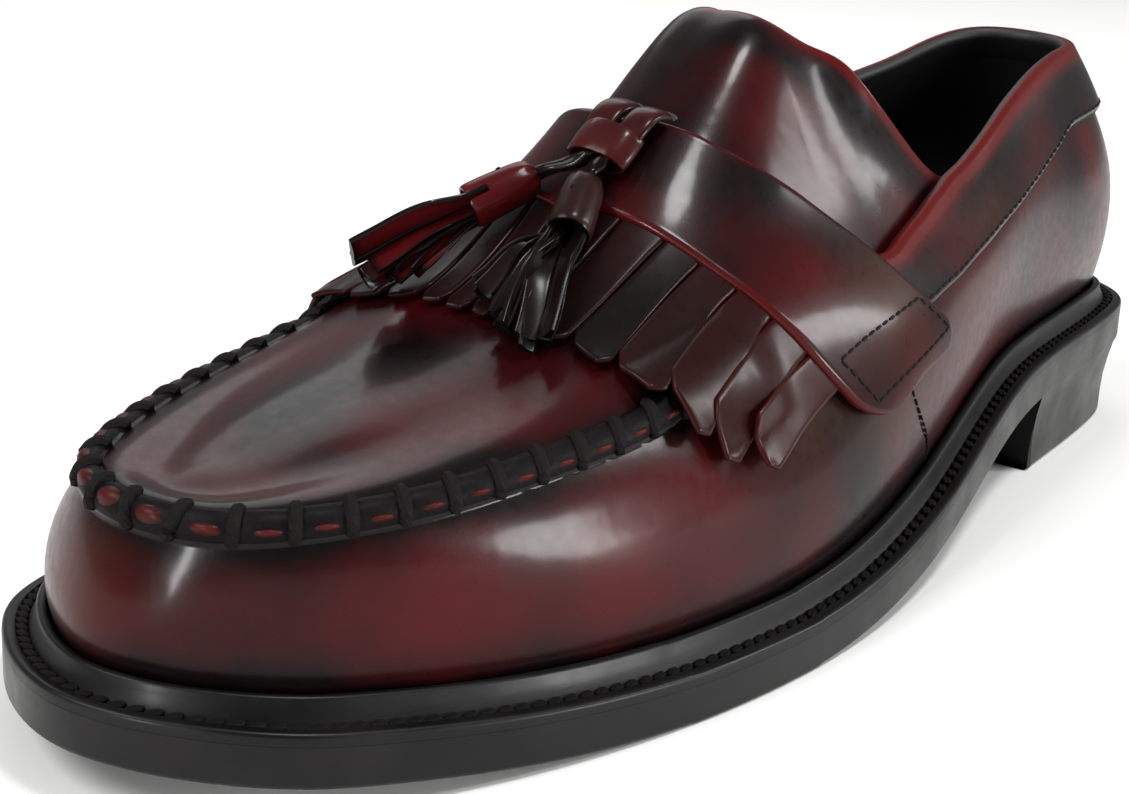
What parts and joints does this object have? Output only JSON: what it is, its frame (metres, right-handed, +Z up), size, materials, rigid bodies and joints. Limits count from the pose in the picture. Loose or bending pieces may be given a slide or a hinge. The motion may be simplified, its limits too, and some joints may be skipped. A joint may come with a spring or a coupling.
{
  "type": "tassel loafer",
  "caption": "Left tassel loafer: hollow moccasin-front upper with strap, cut fringe, knot and tassels on a welted sole with a block heel.",
  "frame": {"origin": "centre of the sole's outline on the ground", "axes": "+Z up, +Y from toe to heel along the shoe, +X towards the outer side of this left shoe"},
  "size_m": [0.109, 0.305, 0.1019],
  "materials": {
    "upper_leather": "polished oxblood, burnished darker at seams",
    "dark_leather": "polished dark oxblood",
    "red_leather": "polished red",
    "tassel_leather": "polished brown red",
    "lining": "matt black",
    "welt_leather": "satin black, stitched",
    "sole_leather": "waxed black edge",
    "heel_leather": "waxed black stack"
  },
  "bodies": {
    "root": {"upper": "upper_leather", "tongue": "upper_leather", "collar_band": "upper_leather", "back_strip": "dark_leather", "saddle": "upper_leather", "kiltie": "dark_leather", "knot": "tassel_leather", "tassel_near": "tassel_leather", "tassel_far": "red_leather", "insole": "lining", "welt": "welt_leather", "outsole": "sole_leather", "heel": "heel_leather"}
  },
  "joints": []
}
